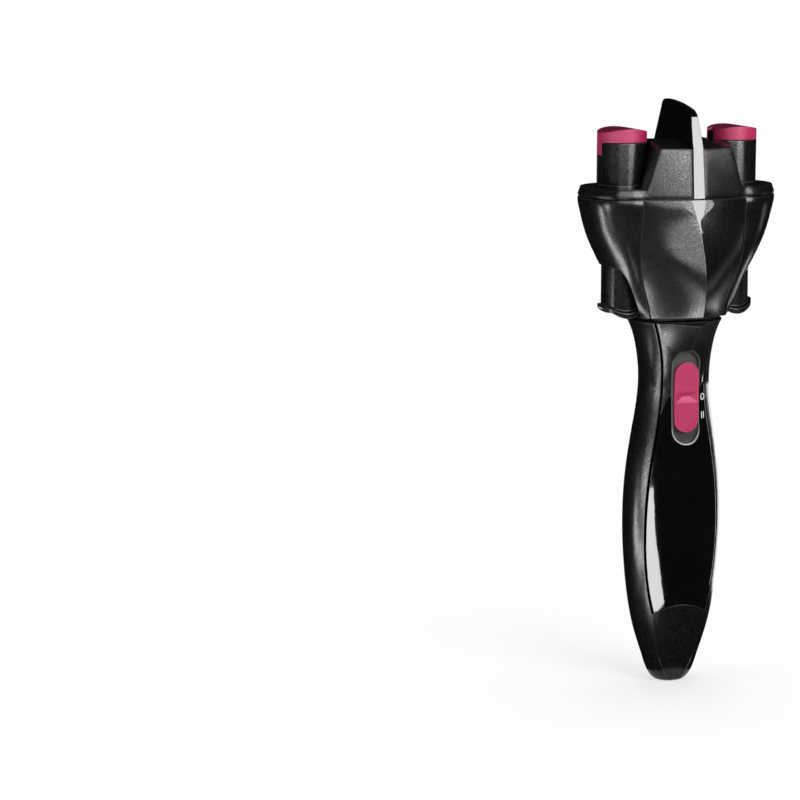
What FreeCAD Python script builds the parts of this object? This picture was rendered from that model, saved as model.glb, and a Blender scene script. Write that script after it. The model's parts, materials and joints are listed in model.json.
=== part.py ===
import FreeCAD, Part
import math
import os
import re

from FreeCAD import Placement, Rotation, Vector

# Battery hair braider, millimetres. +Z runs up from the tip of the handle, the switch faces -Y,
# and the two braiding heads stand at -X and +X on a turret that turns about Z.

SIZES = {
    # handle sections, from the tip up: height, half width and half depth of each ellipse
    "tip_height": 0.0, "tip_width": 5.2, "tip_depth": 4.4,
    "toe_height": 1.8, "toe_width": 8.2, "toe_depth": 6.5,
    "foot_height": 10.5, "foot_width": 12.2, "foot_depth": 8.9,
    "calf_height": 22.0, "calf_width": 16.0, "calf_depth": 11.0,
    "knee_height": 37.0, "knee_width": 19.2, "knee_depth": 13.2,
    "thigh_height": 50.0, "thigh_width": 20.7, "thigh_depth": 14.8,
    "belly_height": 70.0, "belly_width": 21.7, "belly_depth": 16.0,
    "chest_height": 90.0, "chest_width": 20.8, "chest_depth": 15.9,
    "breast_height": 110.0, "breast_width": 18.0, "breast_depth": 14.5,
    "waist_height": 130.0, "waist_width": 15.3, "waist_depth": 13.7,
    "collar_height": 142.0, "collar_width": 16.0, "collar_depth": 14.5,
    "neck_height": 155.2, "neck_width": 19.6, "neck_depth": 17.0,
    "lip_height": 156.9, "lip_width": 20.5, "lip_depth": 17.5,
    "handle_wall": 2.2, "seam_gap": 0.4, "window_gap": 0.8, "pocket_floor": 12.0,
    # front window, as half widths of the seam between side band and front pieces
    "panel_base": 31.0, "panel_base_width": 12.3, "panel_rise": 4.0,
    "panel_low": 43.0, "panel_low_width": 14.9,
    "panel_mid": 66.0, "panel_mid_width": 16.8,
    "panel_high": 93.5, "panel_high_width": 15.1,
    "panel_waist": 123.0, "panel_waist_width": 10.6,
    "panel_neck": 157.4, "panel_neck_width": 14.8,
    # slanting edge between gloss panel and insert, from the left seam up to the right seam
    "slant_left_low": 99.5, "slant_left_low_x": -15.0,
    "slant_left_mid": 113.5, "slant_left_mid_x": -11.8,
    "slant_left_high": 126.0, "slant_left_high_x": -7.0,
    "slant_right_low": 129.5, "slant_right_low_x": 7.2,
    "slant_right_mid": 133.0, "slant_right_mid_x": 8.3,
    "slant_right_high": 140.5, "slant_right_high_x": 10.8,
    # prow of the front insert, as heights and the reach of its ridge beyond the oval
    "prow_low": 141.5, "prow_low_width": 9.8, "prow_low_reach": 0.0,
    "prow_mid": 146.2, "prow_mid_width": 10.6, "prow_mid_reach": 3.0,
    "prow_high": 150.5, "prow_high_width": 11.6, "prow_high_reach": 5.9,
    "prow_top": 156.9, "prow_top_width": 13.7, "prow_top_reach": 10.2,
    # facet on the front of the tip, as heights, half widths and the share of the oval's bulge kept
    "facet_low": 0.9, "facet_low_width": 3.0, "facet_low_bulge": 0.4,
    "facet_mid": 13.5, "facet_mid_width": 8.5, "facet_mid_bulge": 0.45,
    "facet_high": 24.0, "facet_high_width": 11.0, "facet_high_bulge": 0.55,
    "facet_top": 36.0, "facet_top_width": 12.9, "facet_top_bulge": 0.8,
    # three-position switch
    "switch_height": 125.1, "bezel_width": 12.6, "bezel_length": 40.4, "bezel_wall": 0.7,
    "bed_front": 12.2, "bed_back": 11.4, "slider_width": 10.8, "slider_length": 29.8,
    "slider_front": 14.4, "slider_back": 12.3, "notch_depth": 1.3, "notch_half": 2.2,
    "pin_radius": 1.2,
    "switch_travel": 4.0, "body_width": 9.0, "body_front": 11.2, "body_depth": 1.2, "body_length": 20.0,
    "board_width": 12.0, "board_depth": 0.9, "board_length": 30.0,
    # power pack
    "cell_radius": 7.2, "cell_length": 49.5, "cell_nub": 1.0, "cell_offset": 7.4, "cell_base": 45.5,
    "tray_width": 21.6, "tray_front": 9.2, "tray_wall": 1.4, "tray_base": 41.5, "tray_length": 58.0,
    "door_width": 27.0, "door_base": 36.0, "door_length": 68.0,
    # motor and gearbox
    "motor_radius": 10.0, "motor_flat": 7.5, "motor_base": 101.0, "motor_length": 25.0,
    "gearbox_radius": 8.6, "gearbox_length": 16.0, "gearbox_floor": 4.0,
    "shaft_radius": 3.0, "shaft_top": 208.4,
    "bracket_radius": 11.1, "bracket_thickness": 2.0, "bracket_screw_circle": 9.6,
    # neck joint
    "hub_radius": 8.6, "hub_bottom": 146.2, "hub_bore": 3.4, "bearing_radius": 12.6,
    "bearing_base": 149.4, "collar_inset": 2.6, "collar_thickness": 1.7, "running_gap": 0.05,
    "groove_depth": 1.0, "groove_height": 1.2, "lip_radius": 10.2,
    "pillar_radius": 3.0, "pillar_reach": 9.0,
    # turret outline
    "turret_base_height": 157.4, "base_slope": 0.12, "lid_base": 209.6, "lid_top": 213.6,
    "skin": 2.0, "core_gap": 0.2, "face_bulge": 0.9, "rim_bevel": 0.8, "lid_draft": 1.1,
    "facet_foot": 195.5, "facet_foot_reach": 26.0, "facet_inset": 0.3,
    "channel_radius": 11.3, "channel_outer": 181.6, "channel_inner": 175.4,
    "tower_top": 232.9, "tower_arch": 75.0, "tower_top_width": 15.2, "tower_top_depth": 20.0,
    "tower_top_keel": 21.2, "tower_core": 15.0, "recess_radius": 12.2, "head_hole": 10.7,
    # divider fin, as reaches from the axis and heights of the corners of its side view
    "fin_base": 5.0, "fin_waist": 4.4, "fin_tip": 2.0, "fin_top": 249.0, "fin_front": 23.8,
    "mid_reach": 21.7, "mid_height": 230.2, "nose_reach": 18.2, "nose_height": 240.5,
    "cheek_reach": 16.7, "cheek_height": 244.1, "brow_reach": 13.4, "brow_height": 245.9,
    "crown_reach": 1.0, "crown_height": 248.2, "crest_reach": 10.0, "crest_height": 248.9,
    "nape_reach": 13.0, "nape_height": 247.9, "heel_reach": 14.0, "heel_height": 245.6,
    "stern_reach": 19.8, "stern_height": 229.0, "shelf_height": 215.6, "strip_depth": 3.4,
    # heads, hooks and push knobs
    "head_offset": 25.0, "head_radius": 10.4, "head_flat": 10.1, "head_base": 210.2, "head_top": 232.0,
    "wall_inner": 7.9, "wall_half": 2.8, "wall_top": 236.0, "tongue_half": 2.35, "tongue_inner": 8.2,
    "tongue_bottom": 226.8, "notch_gap": 0.1, "flank_base": 214.4, "flank_depth": 0.45,
    "foot_line": 0.4, "cap_base": 232.3, "cap_top": 237.9, "cap_arch": 32.0, "cap_gap": 0.3,
    "tube_radius": 4.2, "tube_base": 198.0, "rod_radius": 2.0, "rod_seat": 6.0, "rod_tip": 2.0,
    "knob_radius": 8.1, "knob_top": 184.2, "guide_base": 186.0, "guide_radius": 9.0, "guide_bore": 8.2,
    "flange_radius": 9.5, "flange_thickness": 1.4, "flange_arch": 12.4, "flange_peak": 163.3,
    # gear train, module 1
    "gear_module": 1.0, "sun_teeth": 12, "idler_teeth": 12, "spindle_teeth": 14,
    "gear_base": 203.6, "gear_width": 4.6, "plate_base": 200.0, "plate_thickness": 2.4,
    "plate_half_length": 32.4, "plate_half_width": 13.2, "post_x": 12.5, "post_y": 11.0,
    "post_radius": 2.4, "screw_radius": 1.0, "screw_head": 1.9, "lid_screw_bite": 3.0,
    "axle_radius": 1.5,
    # springs made as rings joined by posts on alternate sides
    "spring_radius": 4.9, "spring_wire": 0.5, "spring_rings": 6,
    "contact_radius": 3.2, "contact_rings": 3,
    # reach of the tools that cut right through a piece
    "beyond": 60.0,
}

STATIONS = ("tip", "toe", "foot", "calf", "knee", "thigh", "belly", "chest", "breast", "waist",
            "collar", "neck", "lip")

# Turret sections from the underside up: the pod's ellipse, the groove beside it and the keel
TURRET_COLUMNS = ("height", "centre", "half_width", "half_depth", "groove_x", "groove_y", "keel_y")
TURRET_LEVELS = {
    "sole": (157.4, 4.0, 17.0, 19.0, 16.0, 13.4, 27.8),
    "heel": (162.0, 8.0, 16.2, 17.2, 17.4, 13.7, 30.0),
    "ankle": (168.0, 13.0, 14.6, 15.6, 19.0, 13.9, 31.4),
    "middle": (176.0, 18.2, 12.8, 15.2, 21.3, 14.9, 31.8),
    "rib": (184.0, 21.4, 13.6, 16.6, 22.7, 16.4, 30.6),
    "shoulder": (193.6, 23.7, 15.7, 18.0, 23.2, 17.9, 26.9),
    "cheek": (203.0, 24.7, 17.4, 19.0, 23.1, 18.9, 24.7),
    "rim": (209.1, 25.0, 18.1, 19.4, 22.9, 19.2, 23.5),
}
for level, values in TURRET_LEVELS.items():
    for column, value in zip(TURRET_COLUMNS, values):
        SIZES[f"turret_{level}_{column}"] = value

AXES = {
    "X": Rotation(Vector(0, 1, 0), 90),
    "Y": Rotation(Vector(1, 0, 0), -90),
    "Z": Rotation(),
}
HALF_TURN = Placement(Vector(), Rotation(Vector(0, 0, 1), 180))

doc = FreeCAD.newDocument("HairBraider")
sheet = doc.addObject("Spreadsheet::Sheet", "Sizes")
for row, (alias, value) in enumerate(SIZES.items(), start=1):
    sheet.set(f"A{row}", alias)
    sheet.set(f"B{row}", str(value))
    sheet.setAlias(f"B{row}", alias)
doc.recompute()

nodes = []


# ---------------------------------------------------------------- helpers

def size(alias):
    """Value of one cell of the sheet."""
    return float(sheet.get(alias))


def bind(obj, **expressions):
    """Binds properties to expressions in which every word is a cell of the sheet."""
    for name, expression in expressions.items():
        bound = re.sub(r"[a-z]+(_[a-z]+)*\b(?!\()", lambda word: f"Sizes.{word.group(0)}", expression)
        obj.setExpression(name.replace("__", "."), bound)


def place(obj, x="0", y="0", z="0", axis="Z"):
    obj.Placement = Placement(Vector(), AXES[axis])
    bind(obj, Placement__Base__x=x, Placement__Base__y=y, Placement__Base__z=z)
    return obj


def cylinder(radius, length, axis="Z", **at):
    obj = doc.addObject("Part::Cylinder", "Cylinder")
    bind(obj, Radius=radius, Height=length)
    return place(obj, axis=axis, **at)


def ring(outer, inner, length, axis="Z", **at):
    return cut(cylinder(outer, length, axis, **at), cylinder(inner, length, axis, **at))


def box(length, width, height, **at):
    obj = doc.addObject("Part::Box", "Box")
    bind(obj, Length=length, Width=width, Height=height)
    return place(obj, **at)


def cut(base, *tools):
    obj = doc.addObject("Part::Cut", "Cut")
    obj.Base = base
    obj.Tool = tools[0] if len(tools) == 1 else fuse(*tools)
    return obj


def fuse(*shapes):
    obj = doc.addObject("Part::MultiFuse", "Fuse")
    obj.Shapes = list(shapes)
    return obj


def common(*shapes):
    obj = doc.addObject("Part::MultiCommon", "Common")
    obj.Shapes = list(shapes)
    return obj


def shaped(name, shape):
    """Part::Feature for a shape that no primitive gives."""
    obj = doc.addObject("Part::Feature", name)
    obj.Shape = shape
    return obj


def turned(obj):
    """The same piece half a turn round the turret's axis."""
    return shaped("Turned", shape_of(obj).transformed(HALF_TURN.toMatrix()))


def shape_of(obj):
    obj.recompute(True)
    return obj.Shape


def node(label, obj):
    obj.Label = label
    nodes.append(obj)
    return obj


def spline(points):
    curve = Part.BSplineCurve()
    curve.interpolate(points)
    return curve.toShape()


def line(start, end):
    return Part.LineSegment(start, end).toShape()


def arc(start, middle, end):
    return Part.Arc(start, middle, end).toShape()


def closed_face(points):
    return Part.Face(Part.makePolygon([*points, points[0]]))


BEYOND = size("beyond")
GROOVE = size("seam_gap") / 2
SKIN = size("skin")
LEVELS = [{column: size(f"turret_{level}_{column}") for column in TURRET_COLUMNS}
          for level in TURRET_LEVELS]
RIM = LEVELS[-1]


# ---------------------------------------------------------------- handle

def handle_loft(name, offset, stations):
    """Loft through the handle's elliptic sections, drawn in by an offset."""
    sections = []
    for station in stations:
        section = doc.addObject("Part::Ellipse", "Section")
        bind(section, MajorRadius=f"{station}_width - {offset}",
             MinorRadius=f"{station}_depth - {offset}")
        sections.append(place(section, z=f"{station}_height"))
    loft = doc.addObject("Part::Loft", name)
    loft.Sections = sections
    loft.Solid = True
    return loft


def seam_points(inset):
    """Right-hand seam of the front window in the XZ plane, from the base to the neck."""
    names = ("panel_base", "panel_low", "panel_mid", "panel_high", "panel_waist", "panel_neck")
    return [Vector(size(name + "_width") - inset, 0, size(name)) for name in names]


def mirrored(points):
    return [Vector(-point.x, point.y, point.z) for point in points]


def front_window(inset):
    """Prism through the front of the handle, bounded by the two seams."""
    right = seam_points(inset)
    left = mirrored(right)
    crown = Vector(0, 0, size("panel_base") + size("panel_rise") + inset)
    base = [Vector(point.x, 0, point.z + inset) for point in (left[0], right[0])]
    right[0] = base[1]
    left[0] = base[0]
    wire = Part.Wire([spline(right), line(right[-1], left[-1]), spline(left[::-1]),
                      arc(base[0], crown, base[1])])
    return Part.Face(wire).extrude(Vector(0, -BEYOND, 0))


def below_slant(inset):
    """Prism in front of the axis below the slanting edge that ends the gloss panel."""
    left, right = ([Vector(size(f"slant_{side}_{spot}_x"), 0, size(f"slant_{side}_{spot}") - inset)
                    for spot in ("low", "mid", "high")] for side in ("left", "right"))
    corners = [Vector(BEYOND, 0, 0), Vector(-BEYOND, 0, 0)]
    wire = Part.Wire([spline(left), line(left[-1], right[0]), spline(right),
                      line(right[-1], corners[0]), line(*corners), line(corners[1], left[0])])
    return Part.Face(wire).extrude(Vector(0, -BEYOND, 0))


def oval_front(height, x):
    """Depth of the handle's oval in front of the axis, at its middle and at a given x."""
    oval = shape_of(outer).slice(Vector(0, 0, 1), min(height, size("lip_height") - GROOVE))[0]
    half_width, half_depth = oval.BoundBox.XLength / 2, oval.BoundBox.YLength / 2
    return half_depth, half_depth * math.sqrt(1 - (x / half_width) ** 2)


def prow():
    """Ridged front of the insert, which flares out to meet the turret's keel."""
    sections = []
    for name in ("prow_low", "prow_mid", "prow_high", "prow_top"):
        height, edge = size(name), size(name + "_width")
        middle, side = oval_front(height, edge)
        ridge = Vector(0, -middle - size(name + "_reach"), height)
        left, right = Vector(-edge, GROOVE - side, height), Vector(edge, GROOVE - side, height)
        sections.append(Part.makePolygon([left, ridge, right, left]))
    return Part.makeLoft(sections, True)


def tip_facet():
    """Room in front of the flatter facet on the tip."""
    sections = []
    for name in ("facet_low", "facet_mid", "facet_high", "facet_top"):
        height, edge = size(name), size(name + "_width")
        middle, side = oval_front(height, edge)
        bulge = (middle - side) * size(name + "_bulge")
        left, right = Vector(-edge, -side, height), Vector(edge, -side, height)
        corners = [Vector(edge, -BEYOND, height), Vector(-edge, -BEYOND, height)]
        sections.append(Part.Wire([arc(left, Vector(0, -side - bulge, height), right),
                                   line(right, corners[0]), line(*corners), line(corners[1], left)]))
    return Part.makeLoft(sections, True)


def stadium(width, length, front, back):
    """Upright stadium prism at the switch, from its back to its front."""
    depth = f"{front} - {back}"
    ends = [cylinder(f"({width}) / 2", depth, "Y", y=f"-({front})",
                     z=f"switch_height {sign} (({length}) - ({width})) / 2") for sign in "+-"]
    middle = box(width, depth, f"({length}) - ({width})", x=f"-({width}) / 2", y=f"-({front})",
                 z=f"switch_height - (({length}) - ({width})) / 2")
    return fuse(middle, *ends)


outer = handle_loft("HandleOuter", "0", STATIONS)
inner = handle_loft("HandleInner", "handle_wall", STATIONS[2:])
cavity = common(inner, box("2 * beyond", "2 * beyond", "neck_height", x="-beyond", y="-beyond",
                           z="pocket_floor"))
wall = cut(outer, cavity)
window = shaped("FrontWindow", front_window(0))
window_fill = shaped("FrontWindowFill", front_window(size("window_gap")))
door_way = box("door_width", "beyond", "door_length", x="-door_width / 2", y="0", z="door_base")
door_fill = box("door_width - 2 * seam_gap", "beyond", "door_length - 2 * seam_gap",
                x="seam_gap - door_width / 2", y="0", z="door_base + seam_gap")
bezel_hole = stadium("bezel_width + seam_gap / 2", "bezel_length + seam_gap / 2", "beyond",
                     "bed_back / 2")

prow_solid = cut(shaped("Prow", prow()), inner)

node("handle_shell", cut(wall, window, door_way, shaped("TipFacet", tip_facet())))
node("battery_door", common(wall, door_fill))
front = common(wall, window_fill)
node("gloss_panel", cut(common(front, shaped("PanelSlant", below_slant(GROOVE))), bezel_hole))
node("front_insert", cut(fuse(cut(front, shaped("InsertSlant", below_slant(-GROOVE))), prow_solid),
                         bezel_hole))


# ---------------------------------------------------------------- switch

def switch_bezel():
    """Well let into the front of the handle, flush with it at its rim."""
    frame = common(stadium("bezel_width", "bezel_length", "beyond", "bed_back"), outer)
    opening = stadium("bezel_width - 2 * bezel_wall", "bezel_length - 2 * bezel_wall",
                      "2 * beyond", "bed_front")
    slot = box("4 * pin_radius", "beyond", "2 * switch_travel + 4 * pin_radius",
               x="-2 * pin_radius", y="-beyond",
               z="switch_height - switch_travel - 2 * pin_radius")
    return cut(frame, opening, slot)


def grip_notch():
    """Room for the finger notch, with four facets that run down to a short line in its middle."""
    front, middle, half = -size("slider_front"), size("switch_height"), size("notch_half")
    bottom, edge = front + size("notch_depth"), size("slider_width") / 2
    across = closed_face([Vector(-BEYOND, front - GROOVE, middle + half),
                          Vector(-BEYOND, front, middle + half),
                          Vector(-BEYOND, bottom, middle + half / 5),
                          Vector(-BEYOND, front, middle - half),
                          Vector(-BEYOND, front - GROOVE, middle - half)])
    along = closed_face([Vector(-edge, front - GROOVE, middle - BEYOND),
                         Vector(-edge, front, middle - BEYOND),
                         Vector(-edge / 4, bottom, middle - BEYOND),
                         Vector(edge / 4, bottom, middle - BEYOND),
                         Vector(edge, front, middle - BEYOND),
                         Vector(edge, front - GROOVE, middle - BEYOND)])
    return across.extrude(Vector(2 * BEYOND, 0, 0)).common(along.extrude(Vector(0, 0, 2 * BEYOND)))


def switch_slider():
    plate = stadium("slider_width", "slider_length", "slider_front", "slider_back")
    pin = cylinder("pin_radius", "slider_back - bed_back + 0.1", "Y", y="-slider_back",
                   z="switch_height")
    return cut(fuse(plate, pin), shaped("GripNotch", grip_notch()))


node("switch_bezel", switch_bezel())
node("switch_slider", switch_slider())
node("slide_switch", box("body_width", "body_depth", "body_length", x="-body_width / 2",
                         y="-body_front", z="switch_height - body_length / 2"))
node("switch_board", box("board_width", "board_depth", "board_length", x="-board_width / 2",
                         y="body_depth - body_front", z="switch_height - board_length / 2"))


# ---------------------------------------------------------------- power pack

def ring_spring(radius, wire, rings, bottom, top, x="0"):
    """Stack of rings between two heights, joined by posts on alternate sides."""
    pitch = f"(({top}) - ({bottom}) - 2 * {wire}) / ({rings} - 1)"
    parts = []
    count = int(size(rings))
    for index in range(count):
        parts.append(ring(f"{radius} + {wire}", f"{radius} - {wire}", f"2 * {wire}", x=x,
                          z=f"({bottom}) + {index} * {pitch}"))
    for index in range(count - 1):
        side = "+" if index % 2 else "-"
        parts.append(box(wire, wire, f"{pitch} - {wire}", y=f"-{wire} / 2",
                         x=f"({x}) {side} {radius} - {wire} / 2",
                         z=f"({bottom}) + 1.5 * {wire} + {index} * {pitch}"))
    return fuse(*parts)


def aa_cell(side):
    at = {"x": f"{side} cell_offset"}
    can = cylinder("cell_radius", "cell_length - cell_nub", z="cell_base", **at)
    nub = cylinder("cell_radius * 0.38", "cell_nub", z="cell_base + cell_length - cell_nub", **at)
    return fuse(can, nub)


def battery_tray():
    across = {"x": "-tray_width / 2", "y": "-tray_front"}
    back = box("tray_width", "tray_wall", "tray_length", z="tray_base", **across)
    ends = [box("tray_width", "tray_front + 5", "tray_wall", z=height, **across)
            for height in ("tray_base", "tray_base + tray_length - tray_wall")]
    return fuse(back, *ends)


node("battery_tray", battery_tray())
for label, side in (("left", "-"), ("right", "+")):
    node(f"aa_cell_{label}", aa_cell(side))
    node(f"contact_spring_{label}", ring_spring("contact_radius", "spring_wire", "contact_rings",
                                                "tray_base + tray_wall", "cell_base",
                                                f"{side} cell_offset"))
node("contact_plate", box("tray_width - 1", "6", "tray_base + tray_length - tray_wall - cell_base"
                          " - cell_length", x="(1 - tray_width) / 2", y="-3",
                          z="cell_base + cell_length"))

# ---------------------------------------------------------------- motor and neck

MOTOR_TOP = "(motor_base + motor_length)"
GEARBOX_TOP = f"({MOTOR_TOP} + gearbox_length)"


def motor_can():
    can = cylinder("motor_radius", "motor_length", z="motor_base")
    flats = box("2 * motor_radius", "2 * motor_flat", "motor_length", x="-motor_radius",
                y="-motor_flat", z="motor_base")
    return common(can, flats)


def screw(x, y, base, length, head_base):
    """Upright screw with a flat round head."""
    return fuse(cylinder("screw_radius", length, x=x, y=y, z=base),
                cylinder("screw_head", "screw_radius", x=x, y=y, z=head_base))


def bracket_screws():
    """Four screws through the bracket, heads on top."""
    angles = [90 * (index + 0.5) for index in range(4)]
    return [screw(f"bracket_screw_circle * cos({angle})", f"bracket_screw_circle * sin({angle})",
                  GEARBOX_TOP, "bracket_thickness", f"{GEARBOX_TOP} + bracket_thickness")
            for angle in angles]


def compound(parts):
    obj = doc.addObject("Part::Compound", "Compound")
    obj.Links = parts
    return obj


node("motor_can", motor_can())
node("gearbox", cut(cylinder("gearbox_radius", "gearbox_length", z=MOTOR_TOP),
                    cylinder("shaft_radius + running_gap", "gearbox_length - gearbox_floor",
                             z=f"{MOTOR_TOP} + gearbox_floor")))
node("motor_bracket", cut(cylinder("bracket_radius", "bracket_thickness", z=GEARBOX_TOP),
                          cylinder("hub_bore", "bracket_thickness", z=GEARBOX_TOP),
                          *bracket_screws()))
node("bracket_screws", compound(bracket_screws()))
node("neck_bearing", ring("bearing_radius", "hub_radius + running_gap",
                          "neck_height - bearing_base", z="bearing_base"))


def neck_collar():
    """Oval washer inside the handle's lip, under the turret."""
    outline = doc.addObject("Part::Ellipse", "CollarOutline")
    bind(outline, MajorRadius="neck_width - collar_inset", MinorRadius="neck_depth - collar_inset")
    place(outline, z="neck_height + seam_gap / 4")
    plate = doc.addObject("Part::Extrusion", "CollarPlate")
    plate.Base = outline
    plate.Dir = Vector(0, 0, 1)
    plate.Solid = True
    bind(plate, LengthFwd="collar_thickness")
    return cut(plate, cylinder("hub_radius + running_gap", "beyond", z="neck_height"))


node("neck_collar", neck_collar())


# ---------------------------------------------------------------- turret outline

ARC_STEPS = 14


def pod_arc(height, level, shrink, x):
    """Points round the outside of the right-hand pod's ellipse, from its front at x to its back."""
    half_width = level["half_width"] - shrink
    half_depth = level["half_depth"] - shrink
    start = math.acos((x - level["centre"]) / half_width)
    angles = [start * (1 - 2 * step / ARC_STEPS) for step in range(ARC_STEPS + 1)]
    return [Vector(level["centre"] + half_width * math.cos(angle), -half_depth * math.sin(angle), height)
            for angle in angles]


def pod_section(level):
    """Closed wall section of the right-hand pod."""
    edge = level["groove_x"] + GROOVE
    outside = pod_arc(level["height"], level, 0, edge)
    inside = pod_arc(level["height"], level, SKIN, edge)
    return Part.Wire([spline(outside), line(outside[-1], inside[-1]), spline(inside[::-1]),
                      line(inside[0], outside[0])])


def face_arc(start, end, bulge):
    """Shallow arc between two corners of the front panel, bulging forward."""
    along = end - start
    out = Vector(along.y, -along.x, 0).normalize()
    return arc(start, (start + end) * 0.5 + out * bulge, end)


def panel_section(level):
    """Closed wall section of the front panel, a keel with a shallow arc on each side."""
    bulge = size("face_bulge")
    edge = level["groove_x"] - GROOVE
    left = Vector(-edge, -level["groove_y"], level["height"])
    right = Vector(edge, -level["groove_y"], level["height"])
    keel = Vector(0, -level["keel_y"], level["height"])
    inward = Vector(0, SKIN, 0)
    return Part.Wire([face_arc(left, keel, bulge), face_arc(keel, right, bulge),
                      line(right, right + inward), face_arc(keel + inward, right + inward, bulge),
                      face_arc(left + inward, keel + inward, bulge), line(left + inward, left)])


def rim_section(height, shrink):
    """Whole outline of the lid: two pods and two keeled faces."""
    bulge = size("face_bulge")
    right = pod_arc(height, RIM, shrink, RIM["groove_x"])
    left = [Vector(-point.x, -point.y, height) for point in right]
    keel = Vector(0, shrink - RIM["keel_y"], height)
    stern = Vector(0, RIM["keel_y"] - shrink, height)
    return Part.Wire([face_arc(left[-1], keel, bulge), face_arc(keel, right[0], bulge),
                      spline(right), face_arc(right[-1], stern, bulge),
                      face_arc(stern, left[0], bulge), spline(left)])


def loft(sections, ruled=False):
    return Part.makeLoft(sections, True, ruled)


def channel():
    """Room for the right-hand push knob, closed above by a sloping roof."""
    offset, radius = size("head_offset"), size("channel_radius")
    foot = size("hub_bottom")
    left, right = offset - radius, offset + radius
    profile = closed_face([Vector(left, -radius, foot), Vector(right, -radius, foot),
                           Vector(right, -radius, size("channel_outer")),
                           Vector(left, -radius, size("channel_inner"))])
    prism = profile.extrude(Vector(0, 2 * radius, 0))
    return prism.common(Part.makeCylinder(radius, BEYOND, Vector(offset, 0, foot)))


# ---------------------------------------------------------------- turret pieces

def underside():
    """Room below the turret, whose lower edge rises towards the front and the back."""
    low, foot = size("turret_base_height"), size("hub_bottom")
    rise = size("base_slope") * BEYOND
    outline = closed_face([Vector(-BEYOND, 0, low), Vector(-BEYOND, BEYOND, low + rise),
                           Vector(-BEYOND, BEYOND, foot), Vector(-BEYOND, -BEYOND, foot),
                           Vector(-BEYOND, -BEYOND, low + rise)])
    return outline.extrude(Vector(2 * BEYOND, 0, 0))


def keel_facet():
    """Room in front of the flat facet that carries the fin's front strip down into the keel."""
    top, foot = RIM["height"], size("facet_foot")
    outline = closed_face([Vector(-BEYOND, size("facet_inset") - RIM["keel_y"], top),
                           Vector(-BEYOND, -size("facet_foot_reach"), foot),
                           Vector(-BEYOND, -BEYOND, foot), Vector(-BEYOND, -BEYOND, top)])
    return outline.extrude(Vector(2 * BEYOND, 0, 0))


# The plug of a push knob needs more room than the channel where it rises into the pod
knob_room = fuse(shaped("Channel", channel()),
                 cylinder("guide_bore", "guide_base - turret_base_height", x="head_offset",
                          z="turret_base_height"))
below = shaped("Underside", underside())
pod = cut(shaped("PodWall", loft([pod_section(level) for level in LEVELS])), knob_room, below)
panel = cut(shaped("PanelWall", loft([panel_section(level) for level in LEVELS])), below,
            shaped("KeelFacet", keel_facet()))
node("pod_right", pod)
node("pod_left", turned(pod))
node("front_panel", panel)
node("rear_panel", turned(panel))


def core_loft():
    """Solid that fills the lower turret behind its skins."""
    sections = []
    margin = SKIN + size("core_gap")
    for level in LEVELS[:4]:
        height, outer_x = level["height"], level["centre"] + level["half_width"] - margin
        inner_x = min(level["groove_x"], outer_x) - margin
        depth = level["groove_y"] - margin
        half = [Vector(inner_x, -depth, height), Vector(outer_x - SKIN, 0, height),
                Vector(inner_x, depth, height)]
        outline = [*half, *[Vector(-point.x, -point.y, height) for point in half]]
        sections.append(Part.makePolygon([*outline, outline[0]]))
    return loft(sections, ruled=True)


def turret_base():
    """Core with the hub that turns in the handle and two pillars for the gear plate."""
    core = cut(shaped("Core", core_loft()), knob_room, turned(knob_room))
    hub = cylinder("hub_radius", "turret_base_height - hub_bottom + skin", z="hub_bottom")
    pillars = [cylinder("pillar_radius", "plate_base - turret_base_height - skin",
                        y=f"{sign} pillar_reach", z="turret_base_height + skin") for sign in "+-"]
    groove = ring("lip_radius", "hub_radius - groove_depth", "groove_height",
                  z="hub_bottom + groove_depth")
    bore = cylinder("hub_bore", "beyond", z="hub_bottom")
    return cut(fuse(core, hub, *pillars), groove, bore)


node("turret_base", turret_base())
node("retaining_ring", ring("lip_radius", "hub_radius - groove_depth",
                            "groove_height - 2 * running_gap",
                            z="hub_bottom + groove_depth + running_gap"))

# ---------------------------------------------------------------- gear plate and gear train

IDLER_X = "gear_module * (sun_teeth + idler_teeth) / 2"
corners = [{"x": f"{sx} post_x", "y": f"{sy} post_y"} for sx in "+-" for sy in "+-"]


def gear_plate():
    """Plate with posts for the lid, seats for the spindle bushes and holes for the axles."""
    plate = box("2 * plate_half_length", "2 * plate_half_width", "plate_thickness",
                x="-plate_half_length", y="-plate_half_width", z="plate_base")
    posts = [cylinder("post_radius", "lid_base - plate_base", z="plate_base", **corner)
             for corner in corners]
    bores = [cylinder("screw_radius", "lid_base - plate_base", z="plate_base", **corner)
             for corner in corners]
    centre = cylinder("hub_bore", "plate_thickness", z="plate_base")
    seats = [cylinder("tube_radius + skin", "plate_thickness", x=f"{sign} head_offset",
                      z="plate_base") for sign in "+-"]
    axles = [cylinder("axle_radius", "plate_thickness", z="plate_base", x=f"{sign} ({IDLER_X})")
             for sign in "+-"]
    return cut(fuse(plate, *posts), *bores, centre, *seats, *axles)


def gear_shape(teeth_cell, bore, phase):
    """Spur gear with straight-sided teeth; phase 0 points a tooth along +X, 0.5 a gap."""
    module = size("gear_module")
    teeth = int(size(teeth_cell))
    pitch = teeth * module / 2
    profile = ((pitch - 1.2 * module, 0.98), (pitch, 0.68), (pitch + 0.85 * module, 0.34))
    points = []
    for tooth in range(teeth):
        centre = 2 * math.pi * (tooth + phase) / teeth
        sides = [(radius, -half * module / radius) for radius, half in profile]
        sides += [(radius, half * module / radius) for radius, half in reversed(profile)]
        points += [Vector(radius * math.cos(centre + angle), radius * math.sin(centre + angle), 0)
                   for radius, angle in sides]
    blank = Part.Face(Part.makePolygon([*points, points[0]])).extrude(Vector(0, 0, size("gear_width")))
    return blank.cut(Part.makeCylinder(bore, size("gear_width")))


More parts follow.
